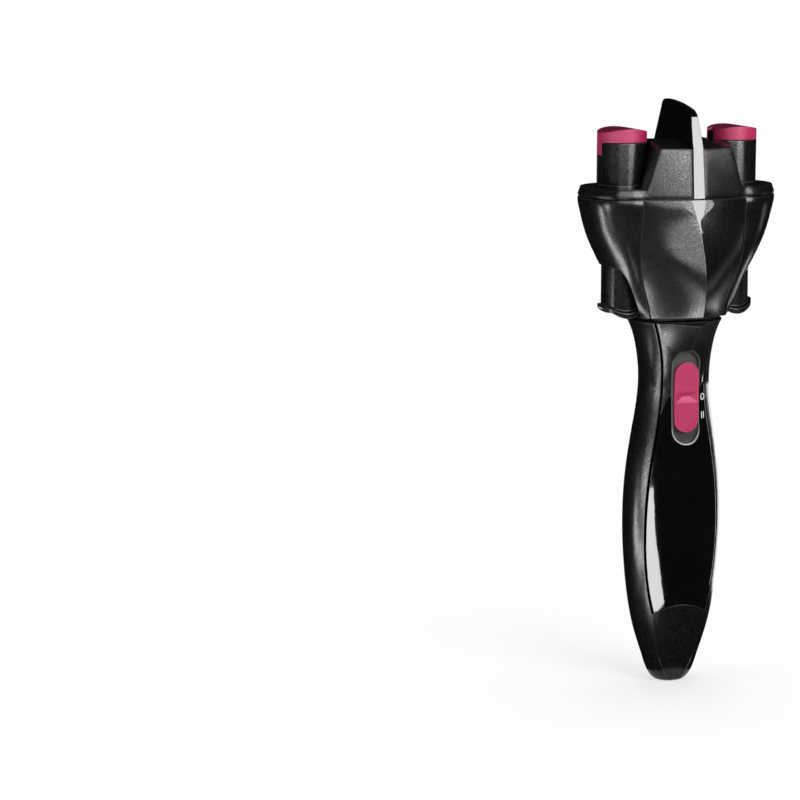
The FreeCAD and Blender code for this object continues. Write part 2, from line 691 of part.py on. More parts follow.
def gear(name, teeth_cell, bore, phase, x):
    obj = shaped("Gear", gear_shape(teeth_cell, bore, phase))
    place(obj, x=x, z="gear_base")
    return node(name, obj)


node("gear_plate", gear_plate())
shaft_base = f"({MOTOR_TOP} + gearbox_floor + seam_gap)"
node("drive_shaft", cylinder("shaft_radius", f"shaft_top - {shaft_base}", z=shaft_base))
gear("sun_gear", "sun_teeth", size("shaft_radius"), 0, "0")
for label, side in (("left", "-"), ("right", "+")):
    at = {"x": f"{side} head_offset"}
    gear(f"idler_{label}", "idler_teeth", size("axle_radius") + size("running_gap"), 0.5,
         f"{side} ({IDLER_X})")
    gear(f"spindle_gear_{label}", "spindle_teeth", size("tube_radius"), 0, f"{side} head_offset")
    node(f"idler_axle_{label}", cylinder("axle_radius", "gear_base + gear_width - plate_base",
                                         x=f"{side} ({IDLER_X})", z="plate_base"))
    node(f"spindle_bush_{label}", ring("tube_radius + skin", "tube_radius + running_gap",
                                       "gear_base - plate_base - seam_gap", z="plate_base", **at))
    node(f"knob_guide_{label}", ring("guide_radius", "guide_bore", "plate_base - guide_base",
                                     z="guide_base", **at))

node("lid_screws", compound([screw(corner["x"], corner["y"], "plate_base",
                                   "lid_base - plate_base + lid_screw_bite",
                                   "plate_base - screw_radius") for corner in corners]))


# ---------------------------------------------------------------- lid, tower and fin

def fin_profile():
    """Side view of the divider fin, from the foot of its front strip round to the stern."""
    front = {name: Vector(0, -size(f"{name}_reach"), size(f"{name}_height"))
             for name in ("mid", "nose", "cheek", "brow", "crown")}
    back = {name: Vector(0, size(f"{name}_reach"), size(f"{name}_height"))
            for name in ("crest", "nape", "heel", "stern")}
    shelf, base = size("shelf_height"), size("lid_base")
    strip_back = size("strip_depth") - size("fin_front")
    front_foot = Vector(0, -size("fin_front"), base)
    under = [back["stern"], Vector(0, size("stern_reach"), shelf), Vector(0, strip_back, shelf),
             Vector(0, strip_back, base), front_foot]
    edges = [line(front_foot, front["mid"]), line(front["mid"], front["nose"]),
             arc(front["nose"], front["cheek"], front["brow"]),
             arc(front["brow"], front["crown"], back["crest"]),
             arc(back["crest"], back["nape"], back["heel"]), line(back["heel"], back["stern"])]
    edges += [line(start, end) for start, end in zip(under, under[1:])]
    return Part.Face(Part.Wire(edges))


def fin_shape():
    """The fin's side view, narrowed towards its top by a wedge."""
    plate = fin_profile().extrude(Vector(2 * BEYOND, 0, 0))
    plate.translate(Vector(-BEYOND, 0, 0))
    right = [Vector(size(width) / 2, -BEYOND, size(height)) for width, height in
             (("fin_base", "lid_base"), ("fin_waist", "tower_top"), ("fin_tip", "fin_top"))]
    left = mirrored(right)
    return plate.common(closed_face([*right, *left[::-1]]).extrude(Vector(0, 2 * BEYOND, 0)))


TOWER_FOOT = RIM["groove_x"] - GROOVE


def tower_section(height, half_width, edge_depth, keel_depth):
    """Six-sided section of the tower, keeled to the front and the back."""
    right = [Vector(half_width, -edge_depth, height), Vector(half_width, edge_depth, height)]
    left = mirrored(right[::-1])
    outline = [Vector(0, -keel_depth, height), *right, Vector(0, keel_depth, height), *left]
    return Part.makePolygon([*outline, outline[0]])


def lid_plate():
    """Lid plate, widest just above its base, drawn in towards its top and open for the tower."""
    base, top, bevel = size("lid_base"), size("lid_top"), size("rim_bevel")
    foot = loft([rim_section(base, bevel / 2), rim_section(base + bevel, 0)], ruled=True)
    plate = foot.fuse(loft([rim_section(base + bevel, 0), rim_section(top, size("lid_draft"))],
                           ruled=True))
    right = [Vector(TOWER_FOOT, -BEYOND, base),
             Vector(size("tower_top_width"), -BEYOND, size("tower_top"))]
    front = closed_face([*right, *mirrored(right)[::-1]])
    front = front.extrude(Vector(0, BEYOND - size("tower_core"), 0))
    return plate.cut([front, front.mirror(Vector(), Vector(0, 1, 0))])


def tower():
    """Tower between the heads, arched over its top and hollowed round both heads."""
    top, depth, arch = size("tower_top"), size("tower_top_depth"), size("tower_arch")
    shape = loft([tower_section(size("lid_base"), TOWER_FOOT, RIM["groove_y"], RIM["keel_y"]),
                  tower_section(top, size("tower_top_width"), depth, size("tower_top_keel"))],
                 ruled=True)
    shape = shape.common(Part.makeCylinder(arch, 2 * BEYOND, Vector(-BEYOND, 0, top - arch),
                                           Vector(1, 0, 0)))
    for side in (-1, 1):
        axis = Vector(side * size("head_offset"), 0, size("lid_top"))
        shape = shape.cut(Part.makeCylinder(size("recess_radius"), BEYOND, axis))
    return shape


fin = shaped("Fin", fin_shape())
screw_bores = [cylinder("screw_radius", "lid_screw_bite", z="lid_base", **corner)
               for corner in corners]
head_holes = [cylinder("head_hole", "lid_top - lid_base", x=f"{sign} head_offset", z="lid_base")
              for sign in "+-"]
lid = shaped("LidWithTower", lid_plate().fuse(tower()).removeSplitter())
node("divider_fin", fin)
node("turret_lid", cut(lid, fin, *screw_bores, *head_holes))


# ---------------------------------------------------------------- heads, hooks and knobs

def spindle_head():
    """Right-hand head: round body with two flats, inner wall, tongue notch and tube."""
    at = {"x": "head_offset"}
    body = common(cylinder("head_radius", "wall_top - head_base", z="head_base", **at),
                  box("2 * head_flat", "2 * head_radius", "wall_top - head_base",
                      x="head_offset - head_flat", y="-head_radius", z="head_base"))
    top_cut = box("wall_inner + head_radius", "2 * head_radius", "beyond",
                  x="head_offset - wall_inner", y="-head_radius", z="head_top")
    side_cuts = [box("2 * head_radius", "head_radius", "beyond", x="head_offset - head_radius",
                     y=y, z="head_top") for y in ("wall_half", "-wall_half - head_radius")]
    notch = box("head_radius", "2 * (tongue_half + notch_gap)", "beyond",
                x="head_offset + tongue_inner - notch_gap", y="-tongue_half - notch_gap",
                z="tongue_bottom - 2 * notch_gap")
    flanks = [box("head_radius", "2 * (tongue_half + notch_gap)", "tongue_bottom - flank_base",
                  x="head_offset + head_flat - flank_depth", y="-tongue_half - notch_gap",
                  z="flank_base"),
              box("head_radius", "2 * wall_half", "beyond", y="-wall_half", z="flank_base",
                  x="head_offset - head_flat + flank_depth - head_radius")]
    foot_line = ring("head_radius + 1", "head_radius - foot_line", "foot_line", z="flank_base",
                     **at)
    tube = cylinder("tube_radius", "head_base - tube_base", z="tube_base", **at)
    bore = cylinder("rod_radius + running_gap", "beyond", z="tube_base", **at)
    return fuse(cut(body, top_cut, *side_cuts, notch, *flanks, foot_line, bore), cut(tube, bore))


def hook():
    """Right-hand hook: barrel-topped cap round the head's wall, with a tongue down its outer side."""
    at = {"x": "head_offset"}
    disc = cylinder("head_radius", "cap_top - cap_base", z="cap_base", **at)
    span = box("2 * head_flat", "2 * head_radius", "cap_top - cap_base",
               x="head_offset - head_flat", y="-head_radius", z="cap_base")
    barrel = cylinder("cap_arch", "2 * head_radius", "Y", x="head_offset", y="-head_radius",
                      z="cap_top - cap_arch")
    wall_room = box("head_radius", "2 * (wall_half + cap_gap)", "beyond", y="-wall_half - cap_gap",
                    x="head_offset - wall_inner + cap_gap - head_radius", z="cap_base")
    cap = cut(common(disc, span, barrel), wall_room)
    tongue = box("head_flat - tongue_inner", "2 * tongue_half", "cap_base - tongue_bottom + 1",
                 x="head_offset + tongue_inner", y="-tongue_half", z="tongue_bottom")
    socket = cylinder("rod_radius", "rod_tip", z="cap_base", **at)
    return cut(fuse(cap, tongue), socket)


def push_knob():
    """Right-hand knob: plug with an arched flange for a finger tip."""
    at = {"x": "head_offset"}
    under = {"x": "head_offset - channel_radius", "z": "flange_peak - flange_arch"}
    arch = cylinder("flange_arch", "2 * channel_radius", "X", **under)
    band = cut(cylinder("flange_arch + flange_thickness", "2 * channel_radius", "X", **under), arch)
    flange = common(cylinder("flange_radius", "beyond", z="turret_base_height - 1", **at), band)
    plug = cut(cylinder("knob_radius", "knob_top - turret_base_height", z="turret_base_height",
                        **at), arch)
    socket = cylinder("rod_radius", "rod_seat", z="knob_top - rod_seat", **at)
    return cut(fuse(plug, flange), socket)


def hook_rod():
    return cylinder("rod_radius", "cap_base + rod_tip - knob_top + rod_seat", x="head_offset",
                    z="knob_top - rod_seat")


for name, make in (("spindle_head", spindle_head), ("hook", hook), ("push_knob", push_knob),
                   ("hook_rod", hook_rod)):
    piece = make()
    node(f"{name}_right", piece)
    node(f"{name}_left", turned(piece))
for label, side in (("left", "-"), ("right", "+")):
    node(f"hook_spring_{label}", ring_spring("spring_radius", "spring_wire", "spring_rings",
                                             "knob_top", "tube_base", f"{side} head_offset"))

# ---------------------------------------------------------------- check and export

doc.recompute()
for obj in doc.Objects:
    if "Invalid" in obj.State or "Error" in obj.State:
        raise RuntimeError(f"{obj.Name} ({obj.Label}) failed: {obj.State}")
for obj in nodes:
    if obj.Shape.isNull() or not obj.Shape.isValid() or not obj.Shape.Solids:
        raise RuntimeError(f"{obj.Label} has no valid solid")

os.makedirs("parts", exist_ok=True)
for obj in nodes:
    obj.Shape.exportStep(f"parts/{obj.Label}.step")
    print(f"{obj.Label:24s} {len(obj.Shape.Solids)} solid(s) {obj.Shape.Volume:10.1f} mm3")
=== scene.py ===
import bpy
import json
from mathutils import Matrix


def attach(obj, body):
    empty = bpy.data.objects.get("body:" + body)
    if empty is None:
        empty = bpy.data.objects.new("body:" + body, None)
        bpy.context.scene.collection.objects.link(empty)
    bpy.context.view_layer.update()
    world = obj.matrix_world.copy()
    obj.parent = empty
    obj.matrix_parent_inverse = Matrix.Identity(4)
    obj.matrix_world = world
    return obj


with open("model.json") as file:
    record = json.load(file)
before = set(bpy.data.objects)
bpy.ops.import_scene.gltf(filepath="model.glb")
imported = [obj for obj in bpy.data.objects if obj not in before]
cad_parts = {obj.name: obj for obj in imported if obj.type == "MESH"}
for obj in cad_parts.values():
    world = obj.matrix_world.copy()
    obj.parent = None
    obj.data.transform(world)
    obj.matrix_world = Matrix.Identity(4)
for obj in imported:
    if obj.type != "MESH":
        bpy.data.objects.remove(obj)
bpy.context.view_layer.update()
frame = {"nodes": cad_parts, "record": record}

import json
import math

import bpy
from mathutils import Matrix, Vector

NODES = frame["nodes"]
SLOTS = {part["node"]: part["material_slot"] for part in frame["record"]["subparts"]}


# ---------------------------------------------------------------- materials

def grey(level):
    return (level, level, level)


def tinted(color, factor, lift=0.0):
    """The colour times factor plus lift, kept within 1."""
    return tuple(min(1.0, factor * channel + lift) for channel in color)


class Shader:
    """A Principled material whose detail comes from nodes on the object's own coordinates."""

    def __init__(self, name, color, roughness, **sockets):
        self.material = bpy.data.materials.new(name)
        self.material.use_nodes = True
        self.tree = self.material.node_tree
        self.surface = self.tree.nodes["Principled BSDF"]
        self.place = self.node("ShaderNodeTexCoord").outputs["Object"]
        self.surface.inputs["Base Color"].default_value = (*color, 1)
        self.surface.inputs["Roughness"].default_value = roughness
        for socket, value in sockets.items():
            self.surface.inputs[socket.replace("_", " ")].default_value = value
        self.normal = None

    def node(self, kind, **values):
        node = self.tree.nodes.new(kind)
        for name, value in values.items():
            if hasattr(node, name) and name not in node.inputs:
                setattr(node, name, value)
            else:
                self.feed(node.inputs[name], value)
        return node

    def feed(self, socket, value):
        if isinstance(value, bpy.types.NodeSocket):
            self.tree.links.new(value, socket)
        else:
            socket.default_value = value

    def noise(self, size, detail=2.0, stretch=(1, 1, 1)):
        """Noise whose blobs measure about size metres."""
        scaled = self.node("ShaderNodeMapping", vector_type="POINT")
        self.feed(scaled.inputs["Vector"], self.place)
        scaled.inputs["Scale"].default_value = [1 / (size * share) for share in stretch]
        return self.node("ShaderNodeTexNoise", Vector=scaled.outputs[0], Scale=1.0, Detail=detail,
                         Roughness=0.5).outputs["Fac"]

    def ramp(self, value, low, high, out_low=0.0, out_high=1.0):
        mapped = self.node("ShaderNodeMapRange", clamp=True)
        for index, item in enumerate((value, low, high, out_low, out_high)):
            self.feed(mapped.inputs[index], item)
        return mapped.outputs[0]

    def math(self, operation, *values):
        node = self.node("ShaderNodeMath", operation=operation)
        for index, item in enumerate(values):
            self.feed(node.inputs[index], item)
        return node.outputs[0]

    def blend(self, factor, low, high):
        """Colour that goes from low to high as factor goes from 0 to 1."""
        mixed = self.node("ShaderNodeMix", data_type="RGBA")
        for index, item in ((0, factor), (6, low), (7, high)):
            self.feed(mixed.inputs[index], (*item, 1) if isinstance(item, tuple) else item)
        return mixed.outputs[2]

    def axes(self):
        """The x, y and z of the place on the object."""
        return self.node("ShaderNodeSeparateXYZ", Vector=self.place).outputs

    def soften(self, radius):
        """Rounds the look of the edges by radius and returns a mask that is 1 along them."""
        bevel = self.node("ShaderNodeBevel", samples=6)
        bevel.inputs["Radius"].default_value = radius
        self.normal = bevel.outputs[0]
        facing = self.node("ShaderNodeVectorMath", operation="DOT_PRODUCT")
        self.feed(facing.inputs[0], bevel.outputs[0])
        self.feed(facing.inputs[1], self.node("ShaderNodeNewGeometry").outputs["Normal"])
        return self.ramp(facing.outputs["Value"], 0.995, 0.86)

    def bump(self, height, distance):
        bump = self.node("ShaderNodeBump", Height=height, Distance=distance, Strength=1.0)
        if self.normal is not None:
            self.feed(bump.inputs["Normal"], self.normal)
        self.normal = bump.outputs[0]

    def finish(self, color, roughness=None):
        self.feed(self.surface.inputs["Base Color"], color)
        if roughness is not None:
            self.feed(self.surface.inputs["Roughness"], roughness)
        self.feed(self.surface.inputs["Normal"], self.normal)
        return self.material


def polished_facet(shader):
    """Mask of the narrow triangle that carries the fin's strip down into the turret's keel."""
    x, _, z = shader.axes()
    facet_bottom, facet_top, half_width = 0.1955, 0.2085, 0.003
    half = shader.ramp(z, facet_bottom, facet_top, -0.0001, half_width)
    return shader.math("LESS_THAN", shader.math("ABSOLUTE", x), half)


def matte_plastic(name, color, grain=0.00042, glint=0.051, edge=0.0005, edge_wear_and_highlight=0.06, facet=False):
    """Moulded plastic with a spark-eroded grain that glints, paler along its edges: partly
    rubbing, partly a painted highlight.
    """
    roughness, patchiness = 0.23, 0.03
    shader = Shader(name, color, roughness, Specular_IOR_Level=0.27)
    worn_and_lit_edges = shader.soften(edge)
    pits = shader.noise(grain, detail=1.0)
    patches = shader.noise(0.018, detail=3.0)
    rough = shader.ramp(patches, 0.35, 0.65, roughness + patchiness, roughness - patchiness)
    rough = shader.math("SUBTRACT", rough, shader.math("MULTIPLY", worn_and_lit_edges, 0.08))
    sparks = shader.ramp(pits, 0.46, 0.6)
    if facet:
        inside = polished_facet(shader)
        rough = shader.math("MULTIPLY", rough, shader.ramp(inside, 0.0, 1.0, 1.0, 0.25))
        sparks = shader.math("MAXIMUM", sparks, inside)
    tone = shader.blend(sparks, color, grey(glint))
    # Edges painted paler: partly rubbing, partly a painted highlight standing in for light caught
    # along them.
    tone = shader.blend(worn_and_lit_edges, tone, grey(edge_wear_and_highlight))
    shader.bump(pits, 0.000018)
    shader.feed(shader.surface.inputs["Metallic"], shader.math(
        "MULTIPLY", sparks, shader.math("SUBTRACT", 1.0, worn_and_lit_edges)))
    return shader.finish(tone, rough)


def gloss_plastic(name, color):
    """Polished plastic with a faint orange peel and hairline wipe marks."""
    roughness = 0.06
    shader = Shader(name, color, roughness, Coat_Weight=0.35, Coat_Roughness=0.03)
    shader.soften(0.0004)
    shader.bump(shader.noise(0.0035, detail=1.0), 0.000004)
    wipes = shader.noise(0.0006, detail=3.0, stretch=(1, 1, 14))
    smears = shader.noise(0.02, detail=2.0)
    rough = shader.math("ADD", shader.ramp(wipes, 0.45, 0.75, roughness, roughness + 0.05),
                        shader.ramp(smears, 0.5, 0.8, 0.0, 0.05))
    return shader.finish(shader.blend(smears, tinted(color, 0.8), tinted(color, 1.4)), rough)


def switch_well(name, color):
    """Satin grey well whose thin rim is polished, with a pale highlight painted on the rim at its
    lower end.
    """
    round_end, rim_inside, painted_rim_highlight = 0.1112, 0.0059, 0.62
    shader = Shader(name, color, 0.36)
    shader.soften(0.0002)
    x, _, z = shader.axes()
    below = shader.math("MINIMUM", shader.math("SUBTRACT", z, round_end), 0.0)
    out = shader.math("SQRT", shader.math("ADD", shader.math("MULTIPLY", x, x),
                                          shader.math("MULTIPLY", below, below)))
    rim = shader.math("GREATER_THAN", out, rim_inside)
    grain = shader.noise(0.0005)
    shader.bump(grain, 0.00012)
    # Painted highlight: the rim is painted pale grey, strongest at its lower end and fading out
    # towards its top.
    lit = shader.ramp(z, 0.1045, 0.113, 1.0, 0.12)
    tone = shader.blend(grain, tinted(color, 0.7), tinted(color, 1.3))
    tone = shader.blend(shader.math("MULTIPLY", rim, lit), tone, grey(painted_rim_highlight))
    return shader.finish(tone, shader.ramp(rim, 0.0, 1.0, 0.36, 0.2))


def pink_plastic(name, color):
    """Satin pigmented plastic with a fine grain, slow tone changes and paler edges, partly from
    rubbing and partly a painted highlight.

    Its faces that look upwards are painted darker, as shade.
    """
    shader = Shader(name, color, 0.42, Subsurface_Weight=0.08, Subsurface_Scale=0.002,
                    Specular_IOR_Level=0.32)
    worn_and_lit_edges = shader.soften(0.0005)
    grain = shader.noise(0.0005)
    shader.bump(grain, 0.0001)
    cloud = shader.noise(0.006, detail=3.0)
    tone = shader.blend(cloud, tinted(color, 0.86), tinted(color, 1.1))
    tone = shader.blend(shader.ramp(grain, 0.3, 0.7), tone, tinted(color, 1.2, 0.01))
    # Edges painted paler: partly rubbing, partly a painted highlight.
    tone = shader.blend(shader.math("MULTIPLY", worn_and_lit_edges, 0.5), tone, tinted(color, 1.0, 0.09))
    # Painted shade: faces that look upwards are darkened.
    facing = shader.node("ShaderNodeSeparateXYZ",
                         Vector=shader.node("ShaderNodeNewGeometry").outputs["True Normal"])
    painted_top_shade = shader.ramp(facing.outputs["Z"], 0.55, 0.8)
    tone = shader.blend(painted_top_shade, tone, tinted(color, 0.32))
    return shader.finish(tone, shader.ramp(cloud, 0.3, 0.7, 0.38, 0.47))


def metal(name, color, roughness):
    """Drawn or turned metal with fine streaks."""
    shader = Shader(name, color, roughness, Metallic=1.0)
    shader.soften(0.00015)
    streaks = shader.noise(0.00012, detail=3.0, stretch=(1, 1, 12))
    shader.bump(streaks, 0.000004)
    stains = shader.noise(0.004, detail=3.0)
    return shader.finish(shader.blend(stains, tinted(color, 0.8), color),
                         shader.ramp(streaks, 0.3, 0.7, roughness - 0.08, roughness + 0.1))


def nylon(name, color):
    """Natural nylon, slightly see-through and mottled."""
    shader = Shader(name, color, 0.45, Subsurface_Weight=0.25, Subsurface_Scale=0.002)
    shader.soften(0.0002)
    shader.bump(shader.noise(0.0004), 0.00001)
    mottle = shader.noise(0.003, detail=4.0)
    return shader.finish(shader.blend(mottle, tinted(color, 0.86), color),
                         shader.ramp(mottle, 0.3, 0.7, 0.38, 0.52))


def printed_ink(name, color):
    """Pad-printed ink, thin and slightly uneven."""
    shader = Shader(name, color, 0.5)
    shader.bump(shader.noise(0.0002), 0.000003)
    thin = shader.noise(0.0004)
    return shader.finish(shader.blend(thin, tinted(color, 0.7), color))


def circuit_board(name, color):
    """Solder mask over the faint relief of copper tracks."""
    shader = Shader(name, color, 0.3)
    tracks = shader.node("ShaderNodeTexBrick", Scale=260.0, Vector=shader.place).outputs["Fac"]
    shader.bump(tracks, 0.00003)
    return shader.finish(shader.blend(tracks, color, tinted(color, 1.7)))


def cell_jacket(name, color):
    """Shrunk sleeve with a pale band at the plus end."""
    band_bottom, band_color = 0.0855, (0.62, 0.6, 0.56)
    shader = Shader(name, color, 0.22, Coat_Weight=0.3)
    _, _, z = shader.axes()
    band = shader.ramp(z, band_bottom, band_bottom + 0.0002)
    shader.bump(shader.noise(0.002), 0.00002)
    return shader.finish(shader.blend(band, color, band_color))


DEEP_BLACK = (0.0015, 0.0015, 0.0016)
MATERIALS = {
    "matte_black": matte_plastic("matte_black", DEEP_BLACK),
    "lid_black": matte_plastic("lid_black", DEEP_BLACK, edge=0.0025, edge_wear_and_highlight=0.01),
    "turret_front": matte_plastic("turret_front", DEEP_BLACK, facet=True),
    "moulded_black": matte_plastic("moulded_black", (0.003, 0.003, 0.0032), grain=0.0003,
                                   glint=0.04),
    "gloss_black": gloss_plastic("gloss_black", (0.002, 0.002, 0.0022)),
    "dark_grey": switch_well("dark_grey", (0.03, 0.032, 0.03)),
    "raspberry": pink_plastic("raspberry", (0.345, 0.0085, 0.07)),
    "steel": metal("steel", (0.6, 0.6, 0.62), roughness=0.28),
    "nylon": nylon("nylon", (0.8, 0.78, 0.72)),
    "brass": metal("brass", (0.8, 0.6, 0.3), roughness=0.22),
    "print": printed_ink("print", grey(0.85)),
    "circuit_board": circuit_board("circuit_board", (0.02, 0.16, 0.06)),
    "cell_jacket": cell_jacket("cell_jacket", (0.02, 0.025, 0.09)),
}

# Pieces that look different from the rest of their material slot.
OWN_LOOK = {"front_panel": "turret_front", "rear_panel": "turret_front",
            "turret_lid": "lid_black"}

for name, piece in NODES.items():
    look = OWN_LOOK.get(name, SLOTS[name])
    for slot in piece.material_slots:
        slot.material = MATERIALS[look]


# ---------------------------------------------------------------- printed switch marks

def add_mesh(name, vertices, faces, material):
    mesh = bpy.data.meshes.new(name)
    mesh.from_pydata(vertices, [], faces)
    mesh.materials.append(material)
    item = bpy.data.objects.new(name, mesh)
    bpy.context.scene.collection.objects.link(item)
    return item


def front_point(x, z):
    """Point just proud of the handle's front, carried across the grooves between its pieces."""
    proud = 0.00004
    for shift in (0.0, 0.0005, -0.0005, 0.001, -0.001):
        for name in ("front_insert", "gloss_panel"):
            start = Vector((x + shift, -0.1, z))
            hit, point, normal, _ = NODES[name].ray_cast(start, Vector((0, 1, 0)))
            if hit:
                return Vector((x, point.y, z)) + normal * proud
    raise ValueError(f"no handle front at {x}, {z}")


def stroke(vertices, faces, path, closed):
    """Adds a flat ribbon along a path of (x, z) points."""
    half_width = 0.00021
    first, count = len(vertices), len(path)
    for index, (x, z) in enumerate(path):
        before = path[index - 1] if closed or index else path[index]
        after = path[(index + 1) % count] if closed or index < count - 1 else path[index]
        along = Vector((after[0] - before[0], after[1] - before[1])).normalized() * half_width
        vertices.append(front_point(x - along.y, z + along.x))
        vertices.append(front_point(x + along.y, z - along.x))
    for index in range(count if closed else count - 1):
        a, b = first + 2 * index, first + 2 * ((index + 1) % count)
        faces.append((a, a + 1, b + 1, b))


def switch_mark(name, paths, closed=False):
    vertices, faces = [], []
    for path in paths:
        stroke(vertices, faces, path, closed)
    mark = add_mesh(name, vertices, faces, MATERIALS["print"])
    mark.modifiers.new("ink", "SOLIDIFY").thickness = 0.00003
    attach(mark, "handle")


def upright_bar(x, z):
    """Path of an upright bar round the point (x, z)."""
    return [(x, z + step * 0.00036) for step in range(-4, 5)]


MARK_X, HALF_GAP = 0.00825, 0.00055
LOW_Z, OFF_Z, HIGH_Z = 0.1324, 0.1247, 0.117
ring = [(MARK_X + 0.00095 * math.cos(angle), OFF_Z + 0.00125 * math.sin(angle))
        for angle in (math.radians(15 * step) for step in range(24))]
switch_mark("mark_low", [upright_bar(MARK_X, LOW_Z)])
switch_mark("mark_off", [ring], closed=True)
switch_mark("mark_high", [upright_bar(MARK_X - HALF_GAP, HIGH_Z),
                          upright_bar(MARK_X + HALF_GAP, HIGH_Z)])


# ---------------------------------------------------------------- lip in the lid's seam

def outline_at(mesh, level, steps):
    """Outline of a mesh's flat faces at a level: the farthest edge point on each bearing."""
    edges = []
    for face in mesh.polygons:
        corners = [mesh.vertices[index].co for index in face.vertices]
        if all(abs(corner.z - level) < 0.00003 for corner in corners):
            edges += zip(corners, corners[1:] + corners[:1])
    outline = []
    for step in range(steps):
        bearing = math.tau * step / steps
        x, y = math.cos(bearing), math.sin(bearing)
        farthest = 0.0
        for a, b in edges:
            side_a, side_b = a.y * x - a.x * y, b.y * x - b.x * y
            if side_a * side_b <= 0 and side_a != side_b:
                share = side_a / (side_a - side_b)
                farthest = max(farthest, (a.x + share * (b.x - a.x)) * x
                               + (a.y + share * (b.y - a.y)) * y)
        if farthest:
            outline.append((farthest * x, farthest * y))
    return outline


LID_BOTTOM, POD_TOP = 0.2096, 0.2091
LIP_LAP, LIP_WALL, LIP_SHRINK = 0.00015, 0.0004, 0.965
outline = outline_at(NODES["turret_lid"].data, LID_BOTTOM, 240)
count = len(outline)
lid_lip = add_mesh(
    "lid_lip",
    [(LIP_SHRINK * x, LIP_SHRINK * y, z)
     for z in (POD_TOP - LIP_LAP, LID_BOTTOM + LIP_LAP) for x, y in outline],
    [(i, (i + 1) % count, (i + 1) % count + count, i + count) for i in range(count)],
    MATERIALS["moulded_black"])
lid_lip.modifiers.new("wall", "SOLIDIFY").thickness = LIP_WALL
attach(lid_lip, "turret")


# ---------------------------------------------------------------- camera, floor and light

def softbox(name, place, target, width, height, power):
    """Area lamp that lights the object and shows neither to the camera nor in reflections."""
    lamp = bpy.data.lights.new(name, "AREA")
    lamp.shape = "RECTANGLE"
    lamp.size, lamp.size_y = width, height
    lamp.energy = power
    box = bpy.data.objects.new(name, lamp)
    bpy.context.scene.collection.objects.link(box)
    box.location = place
    box.rotation_euler = (Vector(target) - box.location).to_track_quat("-Z", "Y").to_euler()
    box.visible_camera = False
    box.visible_glossy = False


def stage_mesh(name, vertices, faces, material):
    item = add_mesh(name, vertices, faces, material)
    return item


def seen_directly(tree):
    """Value that is 1 for camera, glossy and transmission rays, and 0 for the rest."""
    rays = tree.nodes.new("ShaderNodeLightPath").outputs
    value = rays["Is Camera Ray"]
    for ray in ("Is Glossy Ray", "Is Transmission Ray"):
        either = tree.nodes.new("ShaderNodeMath")
        either.operation = "MAXIMUM"
        tree.links.new(value, either.inputs[0])
        tree.links.new(rays[ray], either.inputs[1])
        value = either.outputs[0]
    return value


# The camera's place and bearing were solved from the photograph.
lens = bpy.data.cameras.new("camera")
lens.lens = 130.5
lens.sensor_width = 36.0
lens.clip_start, lens.clip_end = 0.05, 30.0
camera = bpy.data.objects.new("camera", lens)
bpy.context.scene.collection.objects.link(camera)
right = Vector((0.94794, -0.31845, 0.0))
forward = Vector((0.31399, 0.93466, -0.16677))
up = right.cross(forward)
camera.matrix_world = Matrix((
    (right.x, up.x, -forward.x, -0.49717581516),
    (right.y, up.y, -forward.y, -1.11554047922),
    (right.z, up.z, -forward.z, 0.327356913),
    (0, 0, 0, 1)))
bpy.context.scene.camera = camera
bpy.context.scene.view_settings.view_transform = "Standard"

# The floor is white to the camera, apart from a soft shadow near the tip.
FLOOR_REACH, SHADE_INNER, SHADE_OUTER, SHADE_SHARE = 6, 0.02, 0.2, 0.4
floor_look = Shader("floor", grey(0.9), 0.9)
away = floor_look.node("ShaderNodeVectorMath", operation="LENGTH")
floor_look.feed(away.inputs[0], floor_look.place)
shade = floor_look.ramp(away.outputs["Value"], SHADE_INNER, SHADE_OUTER, SHADE_SHARE, 0.0)
whiteness = floor_look.math("MULTIPLY", seen_directly(floor_look.tree),
                            floor_look.math("SUBTRACT", 1.0, shade))
both = floor_look.node("ShaderNodeMixShader")
floor_look.feed(both.inputs[0], whiteness)
floor_look.feed(both.inputs[1], floor_look.surface.outputs[0])
floor_look.feed(both.inputs[2], floor_look.node("ShaderNodeEmission").outputs[0])
floor_look.feed(floor_look.tree.nodes["Material Output"].inputs["Surface"], both.outputs[0])
stage_mesh("floor", [(x * FLOOR_REACH, y * FLOOR_REACH, 0)
                     for x, y in ((-1, -1), (1, -1), (1, 1), (-1, 1))], [(0, 1, 2, 3)],
           floor_look.material)

# The world is white to the camera and in reflections, and dim as a light.
world = bpy.data.worlds.new("world")
bpy.context.scene.world = world
world.use_nodes = True
sky = world.node_tree
level = sky.nodes.new("ShaderNodeMapRange")
level.inputs["To Min"].default_value = 0.45
sky.links.new(seen_directly(sky), level.inputs["Value"])
sky.links.new(level.outputs[0], sky.nodes["Background"].inputs["Strength"])
sky.nodes["Background"].inputs["Color"].default_value = (1, 1, 1, 1)

# Studio cards, seen only in reflections. The dark ones keep the polished front black, and the
# lit ones draw the streaks and bands of light on the plastic.
card_look = Shader("card", grey(0.008), 1.0, Specular_IOR_Level=0.0)


def reflected_only(card):
    card.visible_camera = False
    card.visible_diffuse = False
    card.visible_shadow = False
    card.visible_transmission = False


def dark_card(name, rings, start, stop):
    """Dark surface of revolution through (radius, height) rings, between two angles in degrees.

    The angles are counted from the right (+X) towards the back (+Y).
    """
    angles = [math.radians(angle) for angle in range(start, stop + 1, 5)]
    points = [(r * math.cos(a), r * math.sin(a), z) for r, z in rings for a in angles]
    row = len(angles)
    faces = [(i * row + j, i * row + j + 1, (i + 1) * row + j + 1, (i + 1) * row + j)
             for i in range(len(rings) - 1) for j in range(row - 1)]
    reflected_only(stage_mesh(name, points, faces, card_look.material))


def bright_card(name, points, strength):
    """Lit polygon."""
    look = Shader(name, (0, 0, 0), 1.0, Emission_Color=(1, 1, 1, 1), Emission_Strength=strength)
    reflected_only(stage_mesh(name, points, [tuple(range(len(points)))], look.material))


